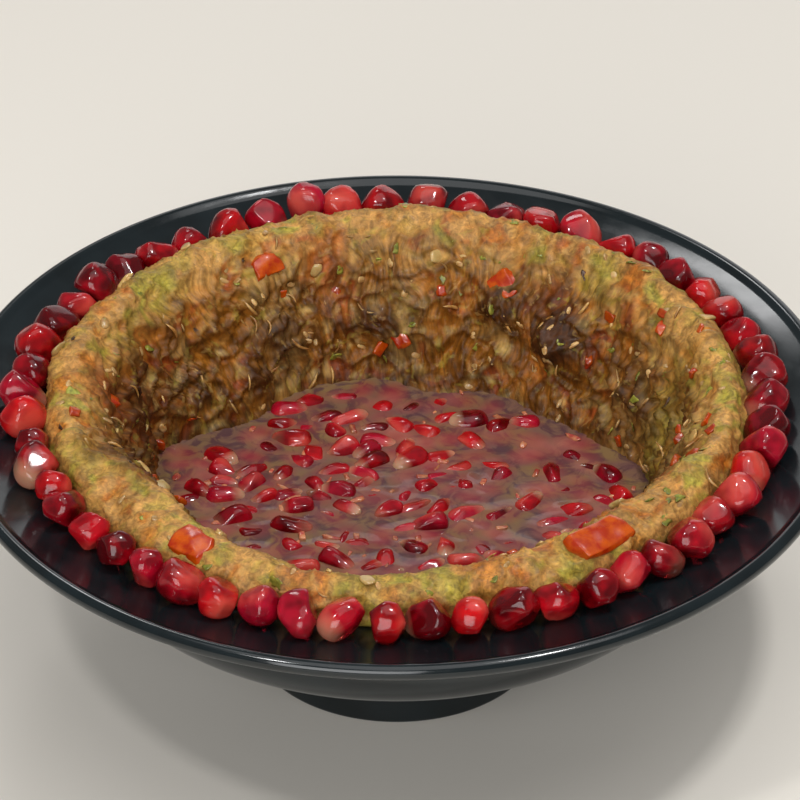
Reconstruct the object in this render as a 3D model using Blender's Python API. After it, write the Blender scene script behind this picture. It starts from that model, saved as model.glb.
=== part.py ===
"""Baba ganoush served in a footed bowl.

A smoky aubergine mash is spread up the inside of the bowl and spooned into a crater that holds a
dark pomegranate sauce.  A garland of pomegranate arils lies on the bowl's flange around the mash,
and a few pieces of cooked red pepper sit in the mash's crest.

Frame: +Z up, the foot's underside on z = 0, the bowl's axis on x = y = 0.  Sizes are in
millimetres here and become metres when a mesh is made.
"""

import math

import bmesh
import bpy
from mathutils import Matrix, Vector

MM = 0.001  # metres in a millimetre
GAP = 0.3  # clearance between pieces that touch

# Bowl, turned about its axis.
FOOT_RADIUS = 30.0
FOOT_WIDTH = 4.0  # of the ring that touches the table
FOOT_RECESS = 3.0  # depth of the hollow inside that ring
FOOT_WAIST = (29.2, 7.0)  # radius and height of the foot's narrowest place
BODY_START = (32.0, 12.5)  # radius and height where the foot meets the body
BODY_SLOPE = 25.0  # degrees, at that place
WALL = 3.0
FLANGE_SLOPE = 12.0
LIP_RADIUS = 1.6
RIM_RADIUS = 90.0
# Each move turns the outside of the body evenly to a slope over a length: (slope, length, steps).
BODY_MOVES = (
    (34.0, 34.6, 2),  # shallow cone above the foot
    (86.0, 14.0, 4),  # round shoulder
    (86.0, 7.8, 1),  # steep wall
    (FLANGE_SLOPE, 1.6, 2),  # knee under the flange
)
SEGMENTS = 52  # around the bowl, the mash and the sauce

# Mash: a ring against the bowl, with a crater inside it.
MASH_EDGE = 70.4  # radius of its outer foot on the flange
MASH_BULGE = 0.5
RIDGE_RADIUS = 66.0
RIDGE_HEIGHT = 62.4
CRATER_FOOT = 49.0  # radius of the wall where it meets the sauce
CRATER_FLOOR = 24.0  # height of the crater's lowest place
SAUCE_LEVEL = 32.0
# Swells of the spread mash: (angle, spread, amount), in degrees, degrees and millimetres.
EDGE_SWELLS = ((160, 14, 0.9), (90, 22, -0.4), (30, 14, 0.7), (240, 12, 0.5), (330, 16, -0.4))
RIDGE_SWELLS = (
    (214, 10, -6.5),
    (234, 9, -1.6),
    (296, 12, -2.6),
    (324, 11, -2.4),
    (112, 15, -2.2),
    (48, 12, 1.0),
    (190, 8, 0.8),
    (346, 8, 1.2),
)
HEIGHT_SWELLS = (
    (88, 12, 1.0),
    (128, 10, 0.6),
    (60, 9, -0.6),
    (214, 14, -1.0),
    (255, 10, -0.9),
    (318, 10, 0.5),
    (185, 10, -1.0),
)
CRATER_SWELLS = (
    (131, 9, -4.5),
    (80, 7, -5.0),
    (50, 12, -3.0),
    (13, 9, 4.0),
    (157, 7, 4.0),
    (205, 14, -4.5),
    (262, 20, 2.0),
    (325, 12, -2.0),
)

# Garland of arils on the flange, out to the heap's uneven outline.
ARIL_COUNT = 40
ARIL_SAMPLES = 4  # of the outline, per aril
GARLAND_HALF_WIDTH = 3.7
GARLAND_HALF_HEIGHT = 4.1
GARLAND_CENTRE_HEIGHT = 57.7
ARIL_DENT = 1.5  # depth of the outline between two arils
GARLAND_POINTS = 8  # round the garland's section

# Red pepper pieces: angle, radius, height, (length, width, thickness), turn and tilt in degrees.
PEPPERS = {
    "pepper_front_right": (306, 66.2, 61.9, (14.0, 8.0, 4.4), 4, -16),
    "pepper_front_left": (234, 67.0, 60.9, (10.0, 8.0, 4.2), -10, -26),
    "pepper_back_right": (67, 57.6, 52.2, (7.6, 7.0, 4.0), 42, 60),
    "pepper_back_left": (118, 58.9, 57.6, (7.0, 5.6, 3.6), 8, 52),
}
PEPPER_ROUNDING = 1.1

# Material: colour, roughness, metallic.
MATERIALS = {
    "bowl_glaze": ((0.013, 0.021, 0.027), 0.16, 0.0),
    "aubergine_mash": ((0.36, 0.23, 0.075), 0.42, 0.0),
    "pomegranate_sauce": ((0.095, 0.048, 0.04), 0.18, 0.0),
    "pomegranate_aril": ((0.34, 0.012, 0.03), 0.16, 0.0),
    "red_pepper": ((0.55, 0.10, 0.012), 0.3, 0.0),
}


def clear_scene():
    for old in list(bpy.data.objects):
        bpy.data.objects.remove(old, do_unlink=True)


def material(name):
    """The named material, made the first time it is asked for."""
    found = bpy.data.materials.get(name)
    if found:
        return found
    colour, roughness, metallic = MATERIALS[name]
    made = bpy.data.materials.new(name)
    made.use_nodes = True
    shader = made.node_tree.nodes["Principled BSDF"]
    shader.inputs["Base Color"].default_value = (*colour, 1.0)
    shader.inputs["Roughness"].default_value = roughness
    shader.inputs["Metallic"].default_value = metallic
    made.diffuse_color = (*colour, 1.0)
    return made


def add_object(name, mesh, material_name):
    mesh.materials.append(material(material_name))
    mesh.shade_smooth()
    made = bpy.data.objects.new(name, mesh)
    bpy.context.scene.collection.objects.link(made)
    return made


# ---------------------------------------------------------------- outlines


def body_outline():
    """Points and slopes along the outside of the bowl's body, from the foot to the lip."""
    radius, height = BODY_START
    slope = math.radians(BODY_SLOPE)
    outline = [(radius, height, slope)]
    for end_slope, length, steps in BODY_MOVES:
        turn = (math.radians(end_slope) - slope) / steps
        for _ in range(steps):
            middle = slope + turn / 2
            radius += length / steps * math.cos(middle)
            height += length / steps * math.sin(middle)
            slope += turn
            outline.append((radius, height, slope))
    reach = RIM_RADIUS - 2 * LIP_RADIUS - radius
    outline.append((radius + reach, height + reach * math.tan(slope), slope))
    return outline


def offset(outline, distance):
    """The outline moved to its upper, inner side."""
    return [(r - distance * math.sin(s), z + distance * math.cos(s)) for r, z, s in outline]


def inner_outline(clearance):
    """The bowl's inside from its axis to the lip, raised by a clearance."""
    wall = offset(body_outline(), WALL + clearance)
    start_radius, start_height = wall[0]
    # The floor is a spherical cap that meets the wall at the wall's own slope.
    sphere = start_radius / math.sin(math.radians(BODY_SLOPE))
    centre = start_height + sphere * math.cos(math.radians(BODY_SLOPE))
    floor = []
    for share in (0.0, 0.5):
        radius = share * start_radius
        floor.append((radius, centre - math.sqrt(sphere**2 - radius**2)))
    return floor + wall


def height_on(outline, radius):
    """Height of an outline at a radius."""
    for (r0, z0), (r1, z1) in zip(outline, outline[1:]):
        if r0 <= radius <= r1:
            return z0 + (z1 - z0) * (radius - r0) / (r1 - r0)
    raise ValueError(f"no outline at radius {radius}")


def swell(base, swells, angle):
    """A size that swells or shrinks smoothly about some angles, in degrees."""
    total = base
    for centre, spread, amount in swells:
        away = (angle - centre + 180.0) % 360.0 - 180.0
        total += amount * math.exp(-0.5 * (away / spread) ** 2)
    return total


def smooth(stations, steps):
    """A Catmull-Rom curve through stations, with the first and the last as its ends."""
    padded = [stations[0], *stations, stations[-1]]
    curve = []
    for before, start, end, after in zip(padded, padded[1:], padded[2:], padded[3:]):
        for step in range(steps):
            t = step / steps
            point = []
            for a, b, c, d in zip(before, start, end, after):
                linear = (c - a) * t
                square = (2 * a - 5 * b + 4 * c - d) * t * t
                cube = (3 * b - a - 3 * c + d) * t * t * t
                point.append(b + 0.5 * (linear + square + cube))
            curve.append(tuple(point))
    curve.append(tuple(stations[-1]))
    return curve


def mash_section(angle, lining):
    """The mash's upper side at an angle, from its foot on the flange to the crater's middle."""
    edge = swell(MASH_EDGE, EDGE_SWELLS, angle)
    ridge = swell(RIDGE_RADIUS, RIDGE_SWELLS, angle)
    top = swell(RIDGE_HEIGHT, HEIGHT_SWELLS, angle)
    foot = swell(CRATER_FOOT, CRATER_SWELLS, angle)
    wall = ridge - 3.6 - foot
    outside = [
        (edge, height_on(lining, edge)),
        (edge + MASH_BULGE, top - 6.0),
        (edge - 1.2, top - 1.6),
        (ridge, top),
        (ridge - 3.6, top - 2.6),
        (foot + 0.68 * wall, top - 9.0),
        (foot + 0.30 * wall, SAUCE_LEVEL + 9.0),
        (foot, SAUCE_LEVEL),
    ]
    floor = [
        (foot * 0.86, CRATER_FLOOR + 3.4),
        (foot * 0.55, CRATER_FLOOR + 0.8),
    ]
    return smooth(outside, 2) + floor


# ---------------------------------------------------------------- meshes


def around(count):
    """Evenly spaced angles in degrees."""
    return [360.0 * i / count for i in range(count)]


def place(radius, height, angle):
    turn = math.radians(angle)
    return Vector((radius * math.cos(turn), radius * math.sin(turn), height)) * MM


def skin(name, sections, material_name, closed=False):
    """A closed body from one section per angle.

    An open section starts and ends on the axis: its first and last points are one vertex each.
    A closed section runs round a ring's own middle.
    """
    angles = around(len(sections))
    body = bmesh.new()
    poles = {}
    if not closed:
        last = len(sections[0]) - 1
        for index in (0, last):
            poles[index] = body.verts.new(place(0.0, sections[0][index][1], 0.0))
    columns = []
    for angle, section in zip(angles, sections):
        column = []
        for index, (radius, height) in enumerate(section):
            column.append(poles.get(index) or body.verts.new(place(radius, height, angle)))
        columns.append(column)
    count = len(sections[0])
    for near, far in zip(columns, columns[1:] + columns[:1]):
        for index in range(count if closed else count - 1):
            after = (index + 1) % count
            corners = [near[index], near[after], far[after], far[index]]
            unique = list(dict.fromkeys(corners))
            body.faces.new(unique)
    bmesh.ops.recalc_face_normals(body, faces=body.faces)
    mesh = bpy.data.meshes.new(name)
    body.to_mesh(mesh)
    body.free()
    return add_object(name, mesh, material_name)


def make_bowl():
    """Foot ring, round body, flange and rolled lip, turned from one outline."""
    foot_inner = FOOT_RADIUS - FOOT_WIDTH
    foot = [
        (0.0, FOOT_RECESS),
        (foot_inner - 1.5, FOOT_RECESS),
        (foot_inner, 0.0),
        (FOOT_RADIUS - 0.5, 0.0),
        (FOOT_RADIUS, 0.7),
        FOOT_WAIST,
    ]
    outside = [(r, z) for r, z, _ in body_outline()]
    inside = inner_outline(0.0)
    lip_centre_r = RIM_RADIUS - LIP_RADIUS
    lip_centre_z = (outside[-1][1] + inside[-1][1]) / 2 + 1.0
    lip = []
    for angle in (-50, 0, 50, 110):
        turn = math.radians(angle)
        lip.append((lip_centre_r + LIP_RADIUS * math.cos(turn), lip_centre_z + LIP_RADIUS * math.sin(turn)))
    profile = foot + outside + lip + inside[::-1]
    return skin("bowl", [profile] * SEGMENTS, "bowl_glaze")


def make_mash():
    """The ring of mash with its crater, lying 0.3 mm inside the bowl."""
    lining = inner_outline(GAP)
    underside = [point for point in lining if point[0] < MASH_EDGE - 0.45]
    sections = []
    for angle in around(SEGMENTS):
        upper = mash_section(angle, lining)
        sections.append(underside + upper + [(0.0, CRATER_FLOOR)])
    return skin("mash", sections, "aubergine_mash")


def make_sauce():
    """The sauce in the crater, solid up to its level."""
    lining = inner_outline(GAP)
    sections = []
    for angle in around(SEGMENTS):
        shore, *bed = mash_section(angle, lining)[-3:]
        bottom = [(radius - GAP, height + 1.6 * GAP) for radius, height in bed[::-1]]
        surface = [(shore[0] - 3 * GAP, SAUCE_LEVEL), (0.0, SAUCE_LEVEL)]
        sections.append([(0.0, CRATER_FLOOR + 1.2 * GAP), *bottom, *surface])
    return skin("sauce_pool", sections, "pomegranate_sauce")


def make_garland():
    """The heap of arils on the flange: two interlocked rows, as one bumpy ring."""
    lining = inner_outline(GAP)
    sections = []
    for angle in around(ARIL_COUNT * ARIL_SAMPLES):
        edge = swell(MASH_EDGE, EDGE_SWELLS, angle) + MASH_BULGE + 1.5 * GAP
        centre = edge + GARLAND_HALF_WIDTH
        section = []
        for step in range(GARLAND_POINTS):
            turn = 2 * math.pi * (step + 0.5) / GARLAND_POINTS
            upper = math.sin(turn - 0.6) > 0  # the upper inner row, half an aril ahead of the lower one
            phase = 0.0 if upper else math.pi / 2
            ripple = abs(math.cos(math.radians(angle) * ARIL_COUNT / 2 + phase))
            dent = ARIL_DENT * (1.0 - ripple)
            side = math.cos(turn)
            inward = side < 0
            radius = centre + side * (GARLAND_HALF_WIDTH - (0.4 if inward else 1.0) * dent)
            height = GARLAND_CENTRE_HEIGHT + math.sin(turn) * (GARLAND_HALF_HEIGHT - dent)
            section.append((radius, max(height, height_on(lining, radius))))
        sections.append(section)
    return skin("aril_garland", sections, "pomegranate_aril", closed=True)


def pepper_mesh(name, size, clearance):
    """A rounded, slightly cupped slab of pepper."""
    body = bmesh.new()
    bmesh.ops.create_cube(body, size=1.0)
    full = [extent + 2 * clearance for extent in size]
    bmesh.ops.scale(body, vec=Vector(full) * MM, verts=body.verts)
    bmesh.ops.bevel(
        body,
        geom=body.edges[:],
        offset=(PEPPER_ROUNDING + clearance) * MM,
        segments=2,
        profile=0.5,
        affect="EDGES",
    )
    mesh = bpy.data.meshes.new(name)
    body.to_mesh(mesh)
    body.free()
    return mesh


def pepper_placing(angle, radius, height, turn, tilt):
    """Length along the ridge, tilted towards the crater, then turned in its own plane."""
    outward = math.radians(angle)
    return (
        Matrix.Translation(place(radius, height, angle))
        @ Matrix.Rotation(outward + math.pi / 2, 4, "Z")
        @ Matrix.Rotation(math.radians(-tilt), 4, "X")
        @ Matrix.Rotation(math.radians(turn), 4, "Z")
    )


def make_peppers(mash):
    """Pepper pieces half sunk in the mash, each in a pocket cut 0.3 mm larger than itself."""
    for name, (angle, radius, height, size, turn, tilt) in PEPPERS.items():
        placing = pepper_placing(angle, radius, height, turn, tilt)
        piece = add_object(name, pepper_mesh(name, size, 0.0), "red_pepper")
        piece.matrix_world = placing
        cutter_mesh = pepper_mesh(name + "_cutter", size, GAP)
        cutter = bpy.data.objects.new(name + "_cutter", cutter_mesh)
        bpy.context.scene.collection.objects.link(cutter)
        cutter.matrix_world = placing
        cutter.hide_render = True
        cutter.display_type = "WIRE"
        pocket = mash.modifiers.new(name + "_pocket", "BOOLEAN")
        pocket.operation = "DIFFERENCE"
        pocket.solver = "EXACT"
        pocket.object = cutter


def main():
    clear_scene()
    make_bowl()
    mash = make_mash()
    make_sauce()
    make_garland()
    make_peppers(mash)


main()
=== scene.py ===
"""Baba ganoush in a footed bowl: the looks of the dish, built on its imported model.

Every piece has its own operator, and the sizes and colours that a cook or a potter would change
are properties of the scene.  Shapes are worked out in millimetres and become metres when a mesh
is made.
"""

import math

import bmesh
import bpy
import numpy as np
from bpy.props import FloatProperty, FloatVectorProperty, IntProperty, PointerProperty
from mathutils import Matrix, Vector, noise


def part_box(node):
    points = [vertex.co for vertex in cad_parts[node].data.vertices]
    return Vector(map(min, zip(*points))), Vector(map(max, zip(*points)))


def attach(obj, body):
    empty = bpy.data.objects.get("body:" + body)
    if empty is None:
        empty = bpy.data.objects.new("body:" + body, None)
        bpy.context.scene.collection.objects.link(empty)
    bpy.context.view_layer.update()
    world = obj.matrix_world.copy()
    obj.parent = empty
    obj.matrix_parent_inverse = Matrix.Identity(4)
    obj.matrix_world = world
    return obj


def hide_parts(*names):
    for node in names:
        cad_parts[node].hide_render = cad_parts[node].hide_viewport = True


bl_info = {
    "name": "Baba Ganoush Bowl",
    "version": (1, 0, 0),
    "blender": (4, 5, 0),
    "location": "3D View > Sidebar > Dip",
    "description": "Builds a bowl of smoky aubergine mash with pomegranate sauce and arils",
    "category": "Add Mesh",
}

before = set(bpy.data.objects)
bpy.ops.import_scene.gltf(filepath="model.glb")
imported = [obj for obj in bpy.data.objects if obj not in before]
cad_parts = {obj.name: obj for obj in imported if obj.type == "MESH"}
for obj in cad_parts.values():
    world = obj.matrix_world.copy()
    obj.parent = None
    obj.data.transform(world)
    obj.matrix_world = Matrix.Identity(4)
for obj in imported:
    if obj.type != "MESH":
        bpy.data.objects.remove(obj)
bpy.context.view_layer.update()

MM = 0.001  # metres in a millimetre
BODY = "root"


def srgb(red, green, blue):
    """A colour given in 8-bit display steps, as linear light."""
    steps = [value / 255 for value in (red, green, blue)]
    return tuple(s / 12.92 if s <= 0.04045 else ((s + 0.055) / 1.055) ** 2.4 for s in steps)


# ---------------------------------------------------------------- sizes from the frame

bowl_low, bowl_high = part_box("bowl")
_, sauce_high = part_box("sauce_pool")
garland_low, garland_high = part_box("aril_garland")

RIM_RADIUS = (bowl_high.x - bowl_low.x) / 2 / MM
RIM_HEIGHT = bowl_high.z / MM
SAUCE_LEVEL = sauce_high.z / MM
GARLAND_OUTER = (garland_high.x - garland_low.x) / 2 / MM
GARLAND_TOP = garland_high.z / MM

# ---------------------------------------------------------------- shape of the bowl

LIP_RADIUS = 1.6
WALL = 3.0
FLANGE_SLOPE = 12.0
BODY_START = (32.0, 12.5)
BODY_SLOPE = 25.0
# Each move turns the outside of the body evenly to a slope over a length: (slope, length, steps).
BODY_MOVES = ((34.0, 34.6, 8), (86.0, 14.0, 12), (86.0, 7.8, 2), (FLANGE_SLOPE, 1.6, 6))
FOOT_OUTLINE = (
    (0.0, 3.0), (24.0, 3.0), (25.2, 2.4), (26.0, 0.4),
    (26.4, 0.0), (29.4, 0.0), (29.9, 0.3), (30.0, 0.8),
)
FOOT_WAIST = ((29.4, 4.0), (29.2, 7.0), (29.9, 10.0))
BOWL_SEGMENTS = 256

# ---------------------------------------------------------------- shape of the mash

MASH_EDGE = 70.4
MASH_BULGE = 0.5
RIDGE_RADIUS = 66.0
RIDGE_HEIGHT = 62.4
CRATER_FOOT = 49.0
CRATER_FLOOR = 24.0
# Swells of the spread mash: (angle, spread, amount), in degrees, degrees and millimetres.
EDGE_SWELLS = ((160, 14, 0.9), (90, 22, -0.4), (30, 14, 0.7), (240, 12, 0.5), (330, 16, -0.4))
RIDGE_SWELLS = (
    (214, 10, -6.5), (234, 9, -1.6), (296, 12, -2.6), (324, 11, -2.4),
    (112, 15, -2.2), (48, 12, 1.0), (190, 8, 0.8), (346, 8, 1.2),
)
HEIGHT_SWELLS = (
    (88, 12, 1.0), (128, 10, 0.6), (60, 9, -0.6), (214, 14, -1.0),
    (255, 10, -0.9), (318, 10, 0.5), (185, 10, -1.0),
)
CRATER_SWELLS = (
    (131, 9, -4.5), (80, 7, -5.0), (50, 12, -3.0), (13, 9, 4.0),
    (157, 7, 4.0), (205, 14, -4.5), (262, 20, 2.0), (325, 12, -2.0),
)
# Hollows and knobs of the crater's wall: (angle, height, degrees, millimetres, depth), depth
# being positive for a knob.
WALL_FORMS = (
    (51, 46, 4.2, 3.0, -5.5), (46, 39, 6.0, 2.4, 2.0), (68, 49, 2.6, 2.2, -3.6),
    (77, 41, 5.0, 3.0, 2.0), (95, 44, 7.0, 2.6, -1.8), (88, 37, 7.0, 2.6, 1.6),
    (118, 44, 4.0, 3.4, -2.2), (106, 50, 6.0, 3.0, 1.3), (132, 48, 7.0, 4.0, 1.2),
    (146, 42, 5.0, 3.5, -1.4), (60, 42, 3.0, 3.0, 1.5), (25, 44, 6.0, 4.5, -1.2),
    (8, 50, 6.0, 4.0, 1.4), (165, 46, 7.0, 4.5, -1.6), (20, 56, 7.0, 3.0, 0.8),
    (200, 51, 8.0, 5.0, -2.4), (186, 42, 7.0, 4.0, -1.0), (345, 42, 7.0, 4.0, -1.2),
    (128, 38, 3.0, 4.0, -2.0),
)
# Patches of one tint in the mash: (angle, radius, spread, colour, strength), in degrees and millimetres.
# Some are painted light or shade: the dark patches at 51, 198 and 208 degrees are painted shade, and the pulp
# and crest patches at -8 and -24 degrees are painted light.
STAINS = (
    (266, 66, 6.0, "olive", 0.8), (285, 66, 5.0, "amber", 0.9), (253, 67, 4.0, "rust", 0.7),
    (300, 66, 4.0, "olive", 0.6), (104, 58, 4.0, "rust", 0.8), (172, 60, 5.0, "russet", 0.8),
    (160, 55, 4.0, "russet", 0.7), (55, 58, 4.0, "russet", 0.9), (56, 52, 3.5, "amber", 0.9),
    (140, 64, 4.0, "olive", 0.8), (121, 64, 4.0, "olive", 0.8), (47, 64, 3.5, "olive", 0.8),
    (356, 59, 3.5, "pulp", 0.9), (178, 67, 2.5, "amber", 0.9), (43, 67, 3.0, "rust", 0.5),
    (200, 64, 6.0, "olive", 0.6), (88, 54, 4.0, "pulp", 0.6), (118, 52, 4.0, "pulp", 0.6),
    (76, 56, 4.0, "amber", 0.5), (8, 52, 6.0, "olive", 0.5), (22, 51, 7.0, "crest", 0.6),
    # painted shade: the umber patches at 198 and 208 degrees and the dark patch at 51 degrees
    (198, 60, 5.0, "umber", 0.9), (208, 57, 5.0, "umber", 0.9), (51, 55, 2.6, "painted_shade", 0.9),
    # painted light: the pulp and crest patches at -8 and -24 degrees lighten the right side of the wall
    (-8, 54, 7.0, "pulp", 0.5), (14, 56, 6.0, "olive", 0.5), (-24, 53, 6.0, "crest", 0.5),
)
MASH_AROUND = 760
MASH_STEP = 0.46  # between points along a section, in millimetres


def swell(base, swells, angles):
    """A size that swells or shrinks smoothly about some angles, in degrees."""
    total = np.full(np.shape(angles), float(base))
    for centre, spread, amount in swells:
        away = (angles - centre + 180.0) % 360.0 - 180.0
        total += amount * np.exp(-0.5 * (away / spread) ** 2)
    return total


def body_outline():
    """Radius, height and slope along the outside of the bowl's body, from the foot to the lip."""
    radius, height = BODY_START
    slope = math.radians(BODY_SLOPE)
    outline = [(radius, height, slope)]
    for end_slope, length, steps in BODY_MOVES:
        turn = (math.radians(end_slope) - slope) / steps
        for _ in range(steps):
            middle = slope + turn / 2
            radius += length / steps * math.cos(middle)
            height += length / steps * math.sin(middle)
            slope += turn
            outline.append((radius, height, slope))
    reach = RIM_RADIUS - 2 * LIP_RADIUS - radius
    for share in (0.33, 0.67, 1.0):
        outline.append((radius + share * reach, height + share * reach * math.tan(slope), slope))
    return outline


def inner_outline(clearance):
    """The bowl's inside from its axis to the lip, raised by a clearance."""
    away = WALL + clearance
    wall = [(r - away * math.sin(s), z + away * math.cos(s)) for r, z, s in body_outline()]
    start_radius, start_height = wall[0]
    sphere = start_radius / math.sin(math.radians(BODY_SLOPE))
    centre = start_height + sphere * math.cos(math.radians(BODY_SLOPE))
    floor = []
    for share in np.linspace(0.0, 0.9, 8):
        radius = share * start_radius
        floor.append((radius, centre - math.sqrt(sphere**2 - radius**2)))
    return np.array(floor + wall)


def flange_height(radius):
    """Height of the bowl's inside at a radius."""
    inside = inner_outline(0.0)
    return np.interp(radius, inside[:, 0], inside[:, 1])


def catmull(stations, steps):
    """Smooth curves through stations: an array [..., station, coordinate] gets steps per span."""
    padded = np.concatenate([stations[..., :1, :], stations, stations[..., -1:, :]], axis=-2)
    a, b, c, d = (padded[..., i : padded.shape[-2] - 3 + i, None, :] for i in range(4))
    t = (np.arange(steps) / steps)[:, None]
    spans = b + 0.5 * t * ((c - a) + t * ((2 * a - 5 * b + 4 * c - d) + t * (3 * b - a - 3 * c + d)))
    curve = spans.reshape(*stations.shape[:-2], -1, stations.shape[-1])
    return np.concatenate([curve, stations[..., -1:, :]], axis=-2)


def even(curves, count):
    """Curves [curve, point, 2] read again at evenly spaced lengths."""
    steps = np.linalg.norm(np.diff(curves, axis=1), axis=-1)
    lengths = np.concatenate([np.zeros((len(curves), 1)), np.cumsum(steps, axis=1)], axis=1)
    result = np.empty((len(curves), count, 2))
    for row, (curve, length) in enumerate(zip(curves, lengths)):
        wanted = np.linspace(0.0, length[-1], count)
        for axis in (0, 1):
            result[row, :, axis] = np.interp(wanted, length, curve[:, axis])
    return result


def mash_stations(angles):
    """The mash's upper side at some angles, from its foot on the flange down to the sauce's bed."""
    edge = swell(MASH_EDGE, EDGE_SWELLS, angles)
    ridge = swell(RIDGE_RADIUS, RIDGE_SWELLS, angles)
    top = swell(RIDGE_HEIGHT, HEIGHT_SWELLS, angles)
    foot = swell(CRATER_FOOT, CRATER_SWELLS, angles)
    wall = ridge - 3.6 - foot
    level = np.full_like(edge, SAUCE_LEVEL)
    points = (
        (edge, flange_height(edge) + 0.3),
        (edge + MASH_BULGE, top - 6.0),
        (edge - 1.2, top - 1.6),
        (ridge, top),
        (ridge - 3.6, top - 2.6),
        (foot + 0.68 * wall, top - 9.0),
        (foot + 0.30 * wall, level + 9.0),
        (foot, level),
        (foot * 0.93, level - 3.0),
    )
    return np.stack([np.stack(pair, axis=-1) for pair in points], axis=1)


def on_axis(radius, height, angles):
    """Points [around, along, 3] of turned profiles; angles are in degrees, one per row."""
    turn = np.radians(angles)[:, None]
    level = np.broadcast_to(height, radius.shape)
    return np.stack([radius * np.cos(turn), radius * np.sin(turn), level], axis=-1)


# ---------------------------------------------------------------- meshes


def skin(name, grid, start_pole=False, end_pole=False):
    """A mesh from points [around, along, 3] in millimetres, closed around.

    A pole is a single vertex where all the rows meet, at the first or the last point along.
    """
    rows, columns = grid.shape[:2]
    first = 1 if start_pole else 0
    last = columns - 1 if end_pole else columns
    body = grid[:, first:last].reshape(-1, 3)
    index = np.arange(len(body)).reshape(rows, last - first)
    after = np.roll(index, -1, axis=0)
    quads = np.stack([index[:, :-1], after[:, :-1], after[:, 1:], index[:, 1:]], axis=-1)
    faces = quads.reshape(-1, 4).tolist()
    points = body.tolist()
    for is_pole, column, end in ((start_pole, 0, 0), (end_pole, -1, -1)):
        if is_pole:
            points.append(grid[0, end].tolist())
            tip = len(points) - 1
            fan = zip(index[:, column].tolist(), after[:, column].tolist())
            faces += [[b, a, tip] if end == 0 else [a, b, tip] for a, b in fan]
    mesh = bpy.data.meshes.new(name)
    mesh.from_pydata((np.array(points) * MM).tolist(), [], faces)
    shaper = bmesh.new()
    shaper.from_mesh(mesh)
    bmesh.ops.recalc_face_normals(shaper, faces=shaper.faces)
    shaper.to_mesh(mesh)
    shaper.free()
    mesh.shade_smooth()
    return mesh


def point_values(mesh, name, values):
    """Stores one number, or one colour, per vertex under a name that materials read."""
    values = np.asarray(values, dtype=np.float32)
    if values.ndim == 1:
        mesh.attributes.new(name, "FLOAT", "POINT").data.foreach_set("value", values)
        return
    rgba = np.concatenate([values, np.ones((len(values), 1), np.float32)], axis=1)
    mesh.attributes.new(name, "FLOAT_COLOR", "POINT").data.foreach_set("color", rgba.ravel())


def show(name, mesh, material, slot, *nodes):
    """Adds a finished piece to the scene, on the dish's one body, in place of some CAD nodes."""
    mesh.materials.clear()
    mesh.materials.append(material)
    piece = bpy.data.objects.new(name, mesh)
    bpy.context.scene.collection.objects.link(piece)
    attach(piece, BODY)
    if nodes:
        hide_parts(*nodes)
    return piece


def mesh_arrays(mesh):
    """A mesh's points, in millimetres, and its faces."""
    points = np.empty(len(mesh.vertices) * 3)
    mesh.vertices.foreach_get("co", points)
    return points.reshape(-1, 3) / MM, [list(face.vertices) for face in mesh.polygons]


def joined(name, shapes, placings, values):
    """One mesh of many copies: copy i is shapes[i % len(shapes)] moved by placings[i].

    A shape is (points, faces, {attribute: per-point values}); values holds further attributes
    that are the same all over a copy, as {attribute: one number per copy}.
    """
    points, faces, carried = [], [], {}
    start = 0
    for index, placing in enumerate(placings):
        shape_points, shape_faces, shape_values = shapes[index % len(shapes)]
        turn = np.array(placing.to_3x3())
        points.append(shape_points @ turn.T + np.array(placing.translation))
        faces += [[corner + start for corner in face] for face in shape_faces]
        start += len(shape_points)
        for key, held in shape_values.items():
            carried.setdefault(key, []).append(held)
        for key, numbers in values.items():
            carried.setdefault(key, []).append(np.full(len(shape_points), numbers[index]))
    mesh = bpy.data.meshes.new(name)
    mesh.from_pydata((np.concatenate(points) * MM).tolist(), [], faces)
    mesh.shade_smooth()
    for key, held in carried.items():
        point_values(mesh, key, np.concatenate(held))
    return mesh


def noise_at(points, size, seed=0.0):
    """Perlin noise, about -1 to 1, of features of a size in millimetres, at each point."""
    offset = Vector((seed * 17.3, seed * 5.1, seed * 9.7))
    return np.array([noise.noise(Vector(p) / size + offset) for p in points.tolist()])


def clumps_at(points, size, seed=0.0):
    """Rounded lumps of a size in millimetres at each point.

    Gives the height, about 1 on top of a lump and 0 between lumps, and a random number per lump.
    """
    offset = Vector((seed * 7.9, seed * 3.3, seed * 11.1))
    mixer = Vector((12.9898, 78.233, 37.719))
    heights = np.empty(len(points))
    kinds = np.empty(len(points))
    for row, point in enumerate(points.tolist()):
        distances, centres = noise.voronoi(Vector(point) / size + offset)
        heights[row] = distances[1] - distances[0]
        kinds[row] = math.sin(centres[0].dot(mixer)) * 437.585
    return np.clip(heights / 0.6, 0.0, 1.0) ** 0.6, kinds % 1.0


def warped(points, size, reach, seed):
    """Points carried about by noise, so that a pattern read at them loses its regularity."""
    return points + reach * np.stack([noise_at(points, size, seed + k) for k in range(3)], axis=-1)


# ---------------------------------------------------------------- material nodes


def new_material(name):
    made = bpy.data.materials.new(name)
    made.use_nodes = True
    tree = made.node_tree
    return made, tree, tree.nodes["Principled BSDF"]


def add_node(tree, kind, sockets=None, **settings):
    """A node with its settings; sockets are set by name, to a value or to another node's output."""
    made = tree.nodes.new("ShaderNode" + kind)
    for key, value in settings.items():
        setattr(made, key, value)
    for key, value in (sockets or {}).items():
        if isinstance(value, bpy.types.NodeSocket):
            tree.links.new(value, made.inputs[key])
        else:
            made.inputs[key].default_value = value
    return made


def object_place(tree):
    return add_node(tree, "TexCoord").outputs["Object"]


def stored(tree, name, output="Fac"):
    return add_node(tree, "Attribute", attribute_name=name).outputs[output]


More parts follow.
